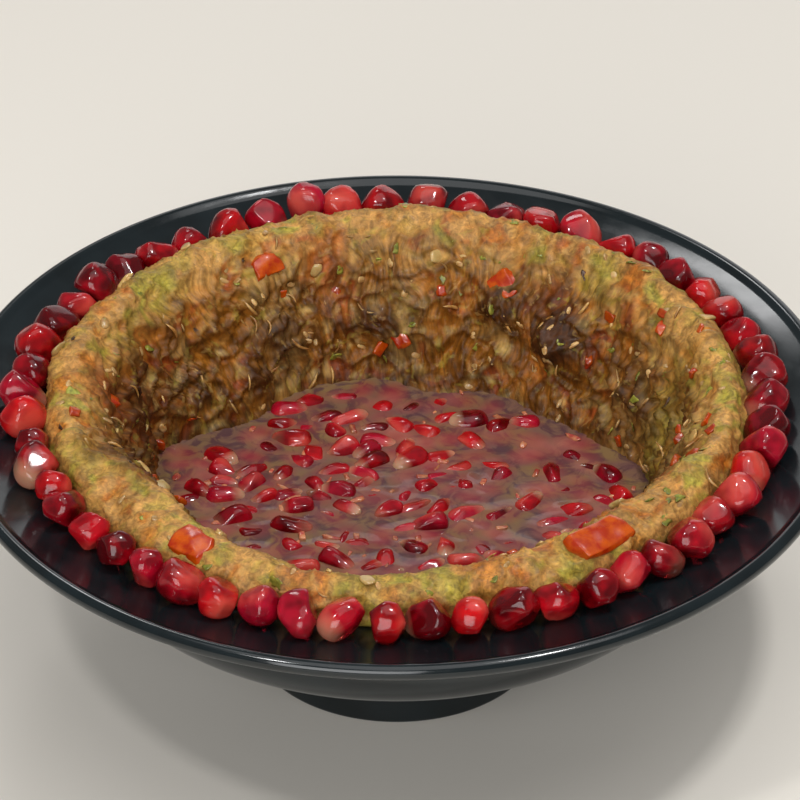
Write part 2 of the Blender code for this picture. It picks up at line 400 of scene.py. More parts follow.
def grain(tree, size, detail=3.0, roughness=0.55, distortion=0.0):
    """Noise of features of a size in millimetres, 0 to 1."""
    sockets = {
        "Vector": object_place(tree), "Scale": 1.0 / (size * MM), "Detail": detail,
        "Roughness": roughness, "Distortion": distortion,
    }
    return add_node(tree, "TexNoise", sockets).outputs["Fac"]


def remap(tree, value, low, high, to_low=0.0, to_high=1.0):
    """A number stretched from one range to another and kept inside the second one."""
    sockets = {"Value": value, "From Min": low, "From Max": high, "To Min": to_low, "To Max": to_high}
    return add_node(tree, "MapRange", sockets, clamp=True).outputs["Result"]


def blend_colour(tree, share, first, second, kind="MIX"):
    made = add_node(tree, "Mix", data_type="RGBA", blend_type=kind)
    for index, value in ((0, share), (6, first), (7, second)):
        if isinstance(value, bpy.types.NodeSocket):
            tree.links.new(value, made.inputs[index])
        elif index == 0:
            made.inputs[index].default_value = value
        else:
            made.inputs[index].default_value = (*value, 1.0)
    return made.outputs[2]


def math_node(tree, operation, first, second):
    made = add_node(tree, "Math", operation=operation)
    for index, value in enumerate((first, second)):
        if isinstance(value, bpy.types.NodeSocket):
            tree.links.new(value, made.inputs[index])
        else:
            made.inputs[index].default_value = value
    return made.outputs[0]


def bump(tree, height, strength, depth):
    """A faint relief, its depth in millimetres."""
    sockets = {"Height": height, "Strength": strength, "Distance": depth * MM}
    return add_node(tree, "Bump", sockets).outputs["Normal"]


def glaze_material(settings):
    """Glossy blue-black glaze, with a soft uneven sheen from handling, and a painted reflection, lighter and
    bluer, on the body between 6 and 32 mm up.
    """
    made, tree, shader = new_material("bowl_glaze")
    cloud = grain(tree, 14.0, detail=2.0)
    deep = tuple(0.6 * part for part in settings.glaze_colour)
    colour = blend_colour(tree, remap(tree, cloud, 0.35, 0.65), deep, tuple(settings.glaze_colour))
    height = add_node(tree, "SeparateXYZ", {"Vector": object_place(tree)}).outputs["Z"]
    # painted reflection: the body between 6 and 32 mm up is made lighter and bluer, as if it mirrored a pale
    # table
    thin = remap(tree, height, 6.0 * MM, 11.0 * MM, 0.0, 0.85)
    thin = math_node(tree, "MULTIPLY", thin, remap(tree, height, 24.0 * MM, 32.0 * MM, 1.0, 0.0))
    colour = blend_colour(tree, thin, colour, tuple(settings.painted_reflection_colour))
    tree.links.new(colour, shader.inputs["Base Color"])
    smear = remap(tree, grain(tree, 7.0, detail=4.0, distortion=0.6), 0.3, 0.75)
    rough = remap(tree, smear, 0.0, 1.0, settings.glaze_roughness * 0.75, settings.glaze_roughness * 1.5)
    tree.links.new(rough, shader.inputs["Roughness"])
    tree.links.new(bump(tree, grain(tree, 5.0, detail=1.0), 0.12, 0.05), shader.inputs["Normal"])
    shader.inputs["IOR"].default_value = 1.5
    return made


def mash_material(settings):
    """Cooked aubergine in the tints of its points, broken up finely, with a thin wet film."""
    made, tree, shader = new_material("aubergine_mash")
    fleck = remap(tree, grain(tree, 1.5, 3.0), 0.3, 0.7, 0.8, 1.2)
    colour = blend_colour(tree, 1.0, stored(tree, "tint", "Color"), fleck, "MULTIPLY")
    sockets = {"Vector": stored(tree, "weave", "Vector"), "Scale": 1.5, "Detail": 3.0, "Roughness": 0.6}
    fibre = add_node(tree, "TexNoise", sockets).outputs["Fac"]
    crumb = grain(tree, 1.3, 3.0, distortion=1.2)
    weave = blend_colour(tree, remap(tree, stored(tree, "depth"), 0.0, 0.5, 0.25, 1.0), crumb, fibre)
    streak = remap(tree, weave, 0.36, 0.64, 0.58, 1.32)
    colour = blend_colour(tree, 1.0, colour, streak, "MULTIPLY")
    pale = remap(tree, grain(tree, 2.2, 2.0, distortion=0.8), 0.6, 0.7, 0.0, 0.3)
    colour = blend_colour(tree, pale, colour, tuple(settings.pulp_colour))
    green = remap(tree, grain(tree, 4.0, 3.0, distortion=0.5), 0.6, 0.7, 0.0, 0.4)
    colour = blend_colour(tree, green, colour, tuple(settings.olive_colour))
    tree.links.new(colour, shader.inputs["Base Color"])
    rough = remap(tree, grain(tree, 3.0, 3.0), 0.3, 0.7, 0.38, 0.6)
    tree.links.new(rough, shader.inputs["Roughness"])
    film = remap(tree, grain(tree, 2.4, 3.0), 0.57, 0.62, 0.0, 0.32)
    tree.links.new(math_node(tree, "MULTIPLY", film, stored(tree, "wet")), shader.inputs["Coat Weight"])
    relief = math_node(tree, "ADD", weave, math_node(tree, "MULTIPLY", grain(tree, 0.9, 2.0), 0.4))
    tree.links.new(bump(tree, relief, 0.45, 0.3), shader.inputs["Normal"])
    shader.inputs["Specular IOR Level"].default_value = 0.22
    shader.inputs["Coat IOR"].default_value = 1.35
    shader.inputs["Coat Roughness"].default_value = 0.08
    shader.inputs["Subsurface Weight"].default_value = 0.12
    shader.inputs["Subsurface Scale"].default_value = 0.002
    shader.inputs["Subsurface Radius"].default_value = (1.0, 0.45, 0.15)
    return made


def sauce_material(settings):
    """Murky pomegranate sauce, with the sunk arils showing through."""
    made, tree, shader = new_material("pomegranate_sauce")
    cloud = remap(tree, grain(tree, 13.0, 3.0, distortion=0.7), 0.36, 0.64)
    murk = blend_colour(tree, cloud, tuple(settings.sauce_colour), tuple(settings.silt_colour))
    dusk = remap(tree, grain(tree, 5.0, 4.0, distortion=1.5), 0.46, 0.6, 0.0, 0.8)
    murk = blend_colour(tree, dusk, murk, tuple(settings.dusk_colour))
    glow = stored(tree, "sunk")
    reds = tuple(settings.sunk_colour), tuple(settings.sunk_pale_colour)
    red = blend_colour(tree, stored(tree, "sunk_pale"), *reds)
    tree.links.new(blend_colour(tree, glow, murk, red), shader.inputs["Base Color"])
    rough = remap(tree, grain(tree, 8.0, 3.0), 0.35, 0.7, 0.04, 0.14)
    tree.links.new(rough, shader.inputs["Roughness"])
    tree.links.new(bump(tree, grain(tree, 5.0, 2.0), 0.15, 0.15), shader.inputs["Normal"])
    shader.inputs["IOR"].default_value = 1.38
    return made


def aril_material(name, settings):
    """Clear seed flesh, from maroon to bright red, paler at the root and where the seed shows."""
    made, tree, shader = new_material(name)
    blush = stored(tree, "blush")
    ripe = remap(tree, stored(tree, "ripe"), 0.0, 1.0, -0.15, 0.55)
    share = math_node(tree, "ADD", ripe, math_node(tree, "MULTIPLY", blush, 0.6))
    share = math_node(tree, "ADD", share, remap(tree, grain(tree, 3.4, 1.0), 0.34, 0.66, -0.32, 0.24))
    reds = tuple(settings.bright_colour), tuple(settings.rosy_colour)
    bright = blend_colour(tree, stored(tree, "rosy"), *reds)
    flesh = blend_colour(tree, remap(tree, share, 0.0, 1.0), tuple(settings.dark_colour), bright)
    seed = math_node(tree, "MULTIPLY", remap(tree, blush, 0.72, 1.0), remap(tree, share, 0.3, 1.0, 0.1, 0.65))
    flesh = blend_colour(tree, seed, flesh, tuple(settings.pink_colour))
    root = remap(tree, stored(tree, "along"), 0.0, 0.36, 1.0, 0.0)
    root = math_node(tree, "MULTIPLY", root, stored(tree, "pale"))
    colour = blend_colour(tree, root, flesh, tuple(settings.root_colour))
    tree.links.new(colour, shader.inputs["Base Color"])
    tree.links.new(remap(tree, grain(tree, 2.4, 2.0), 0.3, 0.7, 0.05, 0.16), shader.inputs["Roughness"])
    shader.inputs["IOR"].default_value = 1.42
    shader.inputs["Transmission Weight"].default_value = settings.clearness
    shader.inputs["Subsurface Weight"].default_value = 0.2
    shader.inputs["Subsurface Scale"].default_value = 0.003
    shader.inputs["Subsurface Radius"].default_value = (1.0, 0.15, 0.15)
    return made


def bit_material(name, colour, second, size, roughness, coat=0.3):
    """Moist flesh of small pieces, in two colours that run into each other."""
    made, tree, shader = new_material(name)
    mottled = remap(tree, grain(tree, size, 3.0), 0.38, 0.64)
    tint = blend_colour(tree, mottled, tuple(colour), tuple(second))
    shade = remap(tree, stored(tree, "shade"), 0.0, 1.0, 0.65, 1.15)
    tint = blend_colour(tree, 1.0, tint, shade, "MULTIPLY")
    tree.links.new(tint, shader.inputs["Base Color"])
    rough = remap(tree, grain(tree, size * 1.7, 2.0), 0.3, 0.7, roughness * 0.7, roughness * 1.4)
    tree.links.new(rough, shader.inputs["Roughness"])
    shader.inputs["Specular IOR Level"].default_value = 0.35
    shader.inputs["Coat Weight"].default_value = coat
    shader.inputs["Coat Roughness"].default_value = 0.12
    shader.inputs["Subsurface Weight"].default_value = 0.1
    shader.inputs["Subsurface Scale"].default_value = 0.0015
    return made


def plain_material(name, colour, roughness):
    made, _, shader = new_material(name)
    shader.inputs["Base Color"].default_value = (*colour, 1.0)
    shader.inputs["Roughness"].default_value = roughness
    return made


# ---------------------------------------------------------------- settings


def colour_property(label, red, green, blue):
    return FloatVectorProperty(
        name=label, description=label + " as linear light", subtype="COLOR", size=3,
        min=0.0, max=1.0, default=srgb(red, green, blue),
    )


class DipBowlSettings(bpy.types.PropertyGroup):
    glaze_colour: colour_property("Glaze colour", 18, 27, 30)
    # colour of the painted reflection on the lower body, not a glaze of its own
    painted_reflection_colour: colour_property("Painted reflection colour", 66, 76, 84)
    glaze_roughness: FloatProperty(
        name="Glaze roughness", description="Middle of the glaze's uneven roughness",
        default=0.13, min=0.02, max=0.6, subtype="FACTOR",
    )


class DipMashSettings(bpy.types.PropertyGroup):
    lump_depth: FloatProperty(
        name="Lump depth", description="Height of the broad lumps, in millimetres",
        default=1.5, min=0.0, max=3.0,
    )
    pulp_depth: FloatProperty(
        name="Pulp depth", description="Height of the small lumps of pulp, in millimetres",
        default=0.75, min=0.0, max=2.0,
    )
    fibre_depth: FloatProperty(
        name="Fibre depth", description="Height of the fibres that run down the wall, in millimetres",
        default=0.55, min=0.0, max=2.0,
    )
    crest_colour: colour_property("Crest colour", 192, 142, 76)
    olive_colour: colour_property("Olive flesh colour", 166, 150, 60)
    amber_colour: colour_property("Amber flesh colour", 190, 118, 40)
    wall_colour: colour_property("Wall colour", 166, 104, 30)
    umber_colour: colour_property("Umber flesh colour", 120, 70, 12)
    russet_colour: colour_property("Russet flesh colour", 144, 66, 20)
    rust_colour: colour_property("Rust flesh colour", 176, 98, 46)
    pulp_colour: colour_property("Pulp colour", 188, 152, 86)
    # colour of the painted shade in the mash's cracks and hollows
    painted_shade_colour: colour_property("Painted shade colour", 60, 30, 6)


class DipBitsSettings(bpy.types.PropertyGroup):
    seeds: IntProperty(name="Seeds", description="Number of aubergine seeds on the mash", default=150, min=0)
    herbs: IntProperty(
        name="Herb flecks", description="Number of herb flecks on the mash", default=130, min=0,
    )
    diced: IntProperty(
        name="Diced pepper", description="Number of small pepper dice in the mash", default=44, min=0,
    )
    onions: IntProperty(name="Onion pieces", description="Number of soft onion pieces", default=22, min=0)
    flakes: IntProperty(name="Charred flakes", description="Number of charred skin flakes", default=26, min=0)
    strands: IntProperty(name="Strands", description="Number of loose fibres on the wall", default=120, min=0)


class DipSauceSettings(bpy.types.PropertyGroup):
    sunk_arils: IntProperty(
        name="Sunk arils", description="Number of arils under the sauce", default=60, min=0,
    )
    floating_arils: IntProperty(
        name="Floating arils", description="Number of arils that stand out of the sauce", default=140, min=0,
    )
    sauce_colour: colour_property("Sauce colour", 108, 76, 70)
    silt_colour: colour_property("Silt colour", 120, 94, 62)
    dusk_colour: colour_property("Dark sauce colour", 74, 48, 56)
    sunk_colour: colour_property("Sunk aril colour", 138, 34, 48)
    sunk_pale_colour: colour_property("Pale sunk aril colour", 176, 106, 90)


class DipArilSettings(bpy.types.PropertyGroup):
    count: IntProperty(name="Arils", description="Number of arils in the garland", default=55, min=8)
    length: FloatProperty(
        name="Aril length", description="Mean length of an aril, in millimetres",
        default=9.9, min=6.0, max=12.0,
    )
    clearness: FloatProperty(
        name="Clearness", description="Share of the light that goes through the flesh",
        default=0.4, min=0.0, max=1.0, subtype="FACTOR",
    )
    dark_colour: colour_property("Dark flesh colour", 96, 0, 8)
    bright_colour: colour_property("Bright flesh colour", 226, 18, 24)
    rosy_colour: colour_property("Rosy flesh colour", 200, 20, 54)
    pink_colour: colour_property("Pink flesh colour", 240, 112, 92)
    root_colour: colour_property("Root end colour", 236, 190, 150)


class DipPepperSettings(bpy.types.PropertyGroup):
    skin_colour: colour_property("Pepper colour", 186, 76, 2)
    deep_colour: colour_property("Deep pepper colour", 158, 38, 0)


class DipStageSettings(bpy.types.PropertyGroup):
    distance: FloatProperty(
        name="Camera distance", description="From the camera to the middle of the dish",
        default=1.2, unit="LENGTH",
    )
    elevation: FloatProperty(
        name="Camera elevation", description="Above level", default=math.radians(33.78), unit="ROTATION",
    )
    lens: FloatProperty(
        name="Lens", description="Focal length on a 36 mm sensor", default=267.3, unit="CAMERA",
    )
    aim_side: FloatProperty(
        name="Aim to the side", description="How far right of the bowl's axis the camera aims",
        default=0.7 * MM, unit="LENGTH",
    )
    aim_height: FloatProperty(
        name="Aim height", description="Height that the camera aims at", default=59.07 * MM, unit="LENGTH",
    )
    key_power: FloatProperty(
        name="Window light", description="Power of the light behind", default=0.9, unit="POWER",
    )
    backdrop_power: FloatProperty(
        name="Backdrop light", description="Power of the low glow behind the dish", default=1.8, unit="POWER",
    )
    fill_power: FloatProperty(
        name="Overhead light", description="Power of the light above", default=5.0, unit="POWER",
    )
    front_power: FloatProperty(
        name="Front light", description="Power of the soft light before the dish", default=5.8, unit="POWER",
    )
    spark_power: FloatProperty(
        name="Spark light", description="Power of the small lights that make glints",
        default=3.2, unit="POWER",
    )
    world_strength: FloatProperty(
        name="Room light", description="Strength of the even room light", default=0.22,
    )
    floor_colour: colour_property("Floor colour", 226, 220, 210)


# ---------------------------------------------------------------- the bowl


def bowl_profile():
    """The bowl's whole section, from the middle of its underside round to the middle of its floor."""
    outside = [(r, z) for r, z, _ in body_outline()]
    inside = inner_outline(0.0)
    centre_r = RIM_RADIUS - LIP_RADIUS
    centre_z = RIM_HEIGHT - LIP_RADIUS
    lip = []
    for angle in range(-75, 146, 20):
        turn = math.radians(angle)
        lip.append((centre_r + LIP_RADIUS * math.cos(turn), centre_z + LIP_RADIUS * math.sin(turn)))
    return np.array([*FOOT_OUTLINE, *FOOT_WAIST, *outside, *lip, *inside[::-1].tolist()])


class DIP_OT_bowl(bpy.types.Operator):
    """Turn the footed bowl with its flange and rolled lip"""

    bl_idname = "dip.bowl"
    bl_label = "Footed Bowl"

    def execute(self, context):
        profile = bowl_profile()
        angles = np.arange(BOWL_SEGMENTS) * 360.0 / BOWL_SEGMENTS
        radius = np.tile(profile[:, 0], (BOWL_SEGMENTS, 1))
        grid = on_axis(radius, profile[:, 1], angles)
        mesh = skin("footed_bowl", grid, start_pole=True, end_pole=True)
        show("footed_bowl", mesh, glaze_material(context.scene.dip_bowl), "bowl_glaze", "bowl")
        return {"FINISHED"}


# ---------------------------------------------------------------- the mash


def grid_normals(grid):
    """Outward normals of a surface [around, along, 3] that is closed around."""
    around = np.roll(grid, -1, axis=0) - np.roll(grid, 1, axis=0)
    along = np.gradient(grid, axis=1)
    normals = np.cross(along, around)
    return normals / np.maximum(np.linalg.norm(normals, axis=-1, keepdims=True), 1e-9)


def mash_surface(settings):
    """The mash's upper surface: points, normals and the values that its colours follow, with painted shade in
    its tints.
    """
    angles = np.arange(MASH_AROUND) * 360.0 / MASH_AROUND
    curves = catmull(mash_stations(angles), 12)
    span = np.linalg.norm(np.diff(curves, axis=1), axis=-1).sum(axis=1).mean()
    sections = even(curves, int(span / MASH_STEP))
    grid = on_axis(sections[..., 0], sections[..., 1], angles)
    shape = sections.shape[:2]
    run = np.linspace(0.0, span, shape[1])
    top = swell(RIDGE_HEIGHT, HEIGHT_SWELLS, angles)[:, None]
    ridge = swell(RIDGE_RADIUS, RIDGE_SWELLS, angles)[:, None]
    inside = np.clip((ridge - 1.0 - sections[..., 0]) / 3.0, 0.0, 1.0)
    depth = inside * np.clip((top - 1.0 - sections[..., 1]) / 10.0, 0.0, 1.0)

    places = grid.reshape(-1, 3)
    wander = noise_at(places, 10.0, 8).reshape(shape)
    turn = np.radians(angles)[:, None] + 0.004 * run[None, :] + 0.07 * wander
    along = run[None, :] + 4.0 * wander
    strands = np.stack([36.0 * np.cos(turn), 36.0 * np.sin(turn), along / 6.0], axis=-1).reshape(-1, 3)
    broad = noise_at(places, 10.0, 1) + 0.5 * noise_at(places, 5.0, 2)
    soft = warped(places, 5.0, 2.6, 11)
    clumps, kinds = clumps_at(soft, 6.4, 3)
    pulp, pulp_kinds = clumps_at(soft, 2.7, 4)
    fibres = 1.0 - 2.4 * np.abs(noise_at(strands, 1.0, 5)) + 0.5 * noise_at(strands, 0.6, 6)
    deep = depth.ravel()
    relief = settings.lump_depth * (0.8 * broad + (0.7 + 0.6 * deep) * (clumps - 0.6))
    relief += settings.pulp_depth * (0.6 + 0.5 * deep) * (pulp - 0.6)
    relief += settings.fibre_depth * (0.1 + 0.9 * deep) * (fibres - 0.3)
    relief += 0.12 * noise_at(places, 1.0, 7)
    forms = np.zeros(shape)
    for angle, level, spread, tall, amount in WALL_FORMS:
        away = (angles - angle + 180.0) % 360.0 - 180.0
        spot = (away[:, None] / spread) ** 2 + ((sections[..., 1] - level) / tall) ** 2
        forms += amount * np.exp(-0.5 * spot)
    relief = relief.reshape(shape) + forms * inside
    calm = np.clip((sections[..., 1] - SAUCE_LEVEL + 2.0) / 6.0, 0.3, 1.0)
    seat = np.clip(run / 3.0, 0.0, 1.0)[None, :] * calm
    moved = grid + grid_normals(grid) * (relief * seat)[..., None]
    shore = np.clip((moved[..., 2] - SAUCE_LEVEL) / 4.0, 0.0, 1.0)
    # painted shade: where the lumps part and where the wall is hollowed the mash gets a dark colour
    crack = np.clip(1.15 - 1.9 * clumps, 0.0, 1.0) * 0.7 + np.clip(0.9 - 2.4 * pulp, 0.0, 1.0) * 0.4
    dip = np.clip(crack.reshape(shape) + np.clip(-forms / 2.6, 0.0, 1.0) * inside, 0.0, 1.0)
    kind = (0.45 * kinds + 0.55 * pulp_kinds).reshape(shape)
    strand = np.clip(0.5 + 0.55 * (fibres - 0.3), 0.0, 1.0).reshape(shape)
    blur = noise_at(places, 5.0, 9).reshape(shape)
    golden = tinted(
        kind, (0.2, settings.olive_colour), (0.4, settings.crest_colour), (0.66, settings.crest_colour),
        (0.8, settings.amber_colour), (0.93, settings.rust_colour),
    )
    brown = tinted(
        kind, (0.15, settings.umber_colour), (0.4, settings.wall_colour), (0.52, settings.umber_colour),
        (0.62, settings.pulp_colour), (0.7, settings.wall_colour), (0.85, settings.russet_colour),
    )
    deeper = np.clip(1.25 * (depth + 0.35 * blur) - 0.1, 0.0, 1.0)[..., None]
    tint = golden * (1.0 - deeper) + brown * deeper
    for angle, radius, spread, name, strength in STAINS:
        centre = radius * np.array([math.cos(math.radians(angle)), math.sin(math.radians(angle))])
        away = np.linalg.norm(grid[..., :2] - centre, axis=-1) / spread + 0.6 * blur
        share = (strength * np.exp(-(away**2)))[..., None]
        tint = tint * (1.0 - share) + np.array(getattr(settings, name + "_colour")) * share
    # painted shade: the mash is darker deeper in the crater; it is also darker within 4 mm above the sauce
    # and lighter along the fibres
    shading = (0.64 + 0.46 * strand) * (0.62 + 0.38 * shore) * (1.0 - 0.16 * depth)
    tint = tint * shading[..., None]
    # painted shade: the dark colour of the cracks and hollows, stronger deeper in the crater
    painted_shade_share = (dip * (0.45 + 0.5 * depth))[..., None]
    tint = tint * (1.0 - painted_shade_share) + np.array(settings.painted_shade_colour) * painted_shade_share
    values = {
        "weave": strands.reshape(*shape, 3),
        "depth": depth,
        "wet": np.clip(0.3 + 0.7 * depth + (1.0 - shore) - 1.5 * dip, 0.0, 1.0),
        "tint": softened(tint),
    }
    return moved, grid_normals(moved), values


def tinted(kinds, *stops):
    """A colour for each kind, read off a row of (place, colour) stops."""
    places = [place for place, _ in stops]
    return np.stack([np.interp(kinds, places, [colour[k] for _, colour in stops]) for k in range(3)], axis=-1)


def softened(colours):
    """Colours [around, along, 3] averaged with those of the points next to them."""
    beside = (np.roll(colours, 1, axis=0) + np.roll(colours, -1, axis=0)) / 2
    padded = np.pad(colours, ((0, 0), (1, 1), (0, 0)), mode="edge")
    return 0.4 * colours + 0.3 * beside + 0.15 * (padded[:, :-2] + padded[:, 2:])


class DIP_OT_mash(bpy.types.Operator):
    """Spread the lumpy aubergine mash up the bowl and hollow its crater"""

    bl_idname = "dip.mash"
    bl_label = "Aubergine Mash"

    def execute(self, context):
        surface, normals, values = mash_surface(context.scene.dip_mash)
        MASH.update(points=surface, normals=normals, depth=values["depth"])
        rows = len(surface)
        angles = np.arange(rows) * 360.0 / rows
        floor = np.stack([np.linspace(0.85, 0.0, 6) * CRATER_FOOT, np.full(6, CRATER_FLOOR)], axis=-1)
        lining = inner_outline(0.3)
        lining = lining[lining[:, 0] < MASH_EDGE - 1.0]
        lining = np.concatenate([lining[:-1:4], lining[-1:]])
        bed = on_axis(np.tile(floor[:, 0], (rows, 1)), floor[:, 1], angles)
        under = on_axis(np.tile(lining[:, 0], (rows, 1)), lining[:, 1], angles)
        grid = np.concatenate([under, surface, bed], axis=1)
        mesh = skin("aubergine_mash", grid, start_pole=True, end_pole=True)
        before, after = under.shape[1] - 1, bed.shape[1] - 1
        for name, held in values.items():
            wide = ((0, 0), (before, after)) + ((0, 0),) * (held.ndim - 2)
            padded = np.pad(held, wide, mode="edge").reshape(-1, *held.shape[2:])
            point_values(mesh, name, np.concatenate([padded, padded[[0, -1]]]))
        show("aubergine_mash", mesh, mash_material(context.scene.dip_mash), "aubergine_mash", "mash")
        return {"FINISHED"}


MASH = {}


def mash_spots(count, seed, weight):
    """Random places on the visible mash: points and normals.

    weight takes the depth of each place and gives how likely a spot is there.
    """
    if not MASH:
        raise RuntimeError("the mash has to be spread first")
    rng = np.random.default_rng(seed)
    points, normals, depth = MASH["points"], MASH["normals"], MASH["depth"]
    shown = (points[..., 2] > SAUCE_LEVEL + 0.8) & (np.arange(points.shape[1])[None, :] > 14)
    chance = (weight(depth) * shown * np.linalg.norm(points[..., :2], axis=-1)).ravel()
    chosen = rng.choice(len(chance), size=count, replace=False, p=chance / chance.sum())
    return points.reshape(-1, 3)[chosen], normals.reshape(-1, 3)[chosen], rng


def lying(point, normal, spin, lift, scale):
    """A placing whose Z is the normal, turned about it, lifted along it and scaled."""
    up = Vector(normal).normalized()
    basis = up.to_track_quat("Z", "Y").to_matrix().to_4x4()
    place = Matrix.Translation(Vector(point) + up * lift)
    return place @ basis @ Matrix.Rotation(spin, 4, "Z") @ Matrix.Diagonal((*scale, 1.0))


def blob(seed, detail, roundness, wobble):
    """A soft irregular dice about 1 mm across: points, faces and no attributes."""
    rng = np.random.default_rng(seed)
    shaper = bmesh.new()
    bmesh.ops.create_cube(shaper, size=1.0)
    bmesh.ops.subdivide_edges(shaper, edges=shaper.edges[:], cuts=detail, use_grid_fill=True)
    mesh = bpy.data.meshes.new("blob")
    shaper.to_mesh(mesh)
    shaper.free()
    points = np.array([vertex.co for vertex in mesh.vertices])
    faces = [list(face.vertices) for face in mesh.polygons]
    bpy.data.meshes.remove(mesh)
    length = np.linalg.norm(points, axis=1, keepdims=True)
    points = points * (1 - roundness) + points / length * 0.55 * roundness
    points += wobble * np.stack([noise_at(points, 0.8, seed + k) for k in range(3)], axis=-1)
    points *= 1.0 + 0.15 * rng.standard_normal(3)
    return points, faces, {}


def strand(seed):
    """A thin curved fibre about 1 mm long, lying along X."""
    rng = np.random.default_rng(seed)
    steps, sides = 7, 5
    t = np.linspace(-0.5, 0.5, steps)
    bend = rng.uniform(-0.25, 0.25, 2)
    middle = np.stack([t, bend[0] * np.cos(t * 3.1), bend[1] * (np.cos(t * 3.1) - 0.5)], axis=-1)
    thick = 0.07 * np.sqrt(np.clip(1.0 - (2 * t) ** 2, 0.02, 1.0))
    around = np.linspace(0, 2 * np.pi, sides, endpoint=False)
    rings = np.stack([np.zeros(sides), np.cos(around), np.sin(around)], axis=-1)
    points = (middle[:, None, :] + thick[:, None, None] * rings[None]).reshape(-1, 3)
    faces = []
    for i in range(steps - 1):
        for k in range(sides):
            after = (k + 1) % sides
            faces.append([i * sides + k, i * sides + after, (i + 1) * sides + after, (i + 1) * sides + k])
    faces.append(list(range(sides))[::-1])
    faces.append([(steps - 1) * sides + k for k in range(sides)])
    return points, faces, {}


def scatter(name, shapes, spots, scales, lift, material, slot):
    """Small pieces of one kind, laid on the mash at some spots, as one mesh."""
    points, normals, rng = spots
    placings = []
    for point, normal, scale in zip(points, normals, scales):
        tipped = normal + 0.25 * rng.standard_normal(3)
        placings.append(lying(point, tipped, rng.uniform(0, 2 * math.pi), lift, scale))
    mesh = joined(name, shapes, placings, {"shade": rng.random(len(placings))})
    return show(name, mesh, material, slot)


class DIP_OT_seeds(bpy.types.Operator):
    """Strew the mash with its own small flat seeds"""

    bl_idname = "dip.seeds"
    bl_label = "Aubergine Seeds"

    def execute(self, context):
        spots = mash_spots(context.scene.dip_bits.seeds, 11, lambda depth: 1.0 + 0.6 * depth)
        rng = spots[2]
        scales = [(1.9 * s, 1.4 * s, 0.6 * s) for s in rng.uniform(0.7, 1.1, len(spots[0]))]
        material = bit_material("seed_skin", srgb(196, 160, 104), srgb(166, 122, 66), 1.0, 0.35)
        shapes = [blob(k, 3, 0.9, 0.1) for k in range(4)]
        scatter("aubergine_seeds", shapes, spots, scales, 0.12, material, "aubergine_mash")
        return {"FINISHED"}


class DIP_OT_herbs(bpy.types.Operator):
    """Fleck the mash with chopped green herbs"""

    bl_idname = "dip.herbs"
    bl_label = "Herb Flecks"

    def execute(self, context):
        spots = mash_spots(context.scene.dip_bits.herbs, 12, lambda depth: 1.2 - 0.5 * depth)
        rng = spots[2]
        scales = [(2.0 * s, 1.2 * s, 0.3 * s) for s in rng.uniform(0.5, 1.3, len(spots[0]))]
        material = bit_material("herb_leaf", srgb(156, 152, 56), srgb(104, 108, 36), 1.2, 0.4)
        shapes = [blob(20 + k, 3, 0.5, 0.5) for k in range(5)]
        scatter("herb_flecks", shapes, spots, scales, 0.1, material, "aubergine_mash")
        return {"FINISHED"}


class DIP_OT_diced(bpy.types.Operator):
    """Set small dice of cooked red pepper in the mash"""

    bl_idname = "dip.diced"
    bl_label = "Diced Pepper"

    def execute(self, context):
        spots = mash_spots(context.scene.dip_bits.diced, 13, lambda depth: 1.0 - 0.3 * depth)
        rng = spots[2]
        scales = [(3.2 * s, 2.4 * s, 1.4 * s) for s in rng.uniform(0.5, 1.15, len(spots[0]))]
        settings = context.scene.dip_pepper
        material = bit_material("diced_pepper", settings.skin_colour, settings.deep_colour, 2.0, 0.3, 0.5)
        shapes = [blob(30 + k, 4, 0.45, 0.3) for k in range(5)]
        scatter("diced_pepper", shapes, spots, scales, 0.0, material, "red_pepper")
        return {"FINISHED"}


class DIP_OT_onions(bpy.types.Operator):
    """Set soft pale pieces of onion in the mash"""

    bl_idname = "dip.onions"
    bl_label = "Onion Pieces"

    def execute(self, context):
        spots = mash_spots(context.scene.dip_bits.onions, 14, lambda depth: 1.0 - 0.2 * depth)
        rng = spots[2]
        scales = [(4.4 * s, 2.8 * s, 1.2 * s) for s in rng.uniform(0.5, 1.1, len(spots[0]))]
        material = bit_material("soft_onion", srgb(206, 172, 108), srgb(178, 142, 78), 2.4, 0.3, 0.4)
        shapes = [blob(40 + k, 4, 0.7, 0.25) for k in range(5)]
        scatter("onion_pieces", shapes, spots, scales, -0.35, material, "aubergine_mash")
        return {"FINISHED"}


class DIP_OT_flakes(bpy.types.Operator):
    """Scatter flakes of charred aubergine skin"""

    bl_idname = "dip.flakes"
    bl_label = "Charred Flakes"

    def execute(self, context):
        spots = mash_spots(context.scene.dip_bits.flakes, 15, lambda depth: 0.3 + depth)
        rng = spots[2]
        scales = [(2.2 * s, 1.0 * s, 0.25 * s) for s in rng.uniform(0.4, 1.1, len(spots[0]))]
        material = bit_material("charred_skin", srgb(78, 48, 20), srgb(46, 26, 12), 1.2, 0.35)
        shapes = [blob(50 + k, 3, 0.3, 0.6) for k in range(5)]
        scatter("charred_flakes", shapes, spots, scales, 0.06, material, "aubergine_mash")
        return {"FINISHED"}


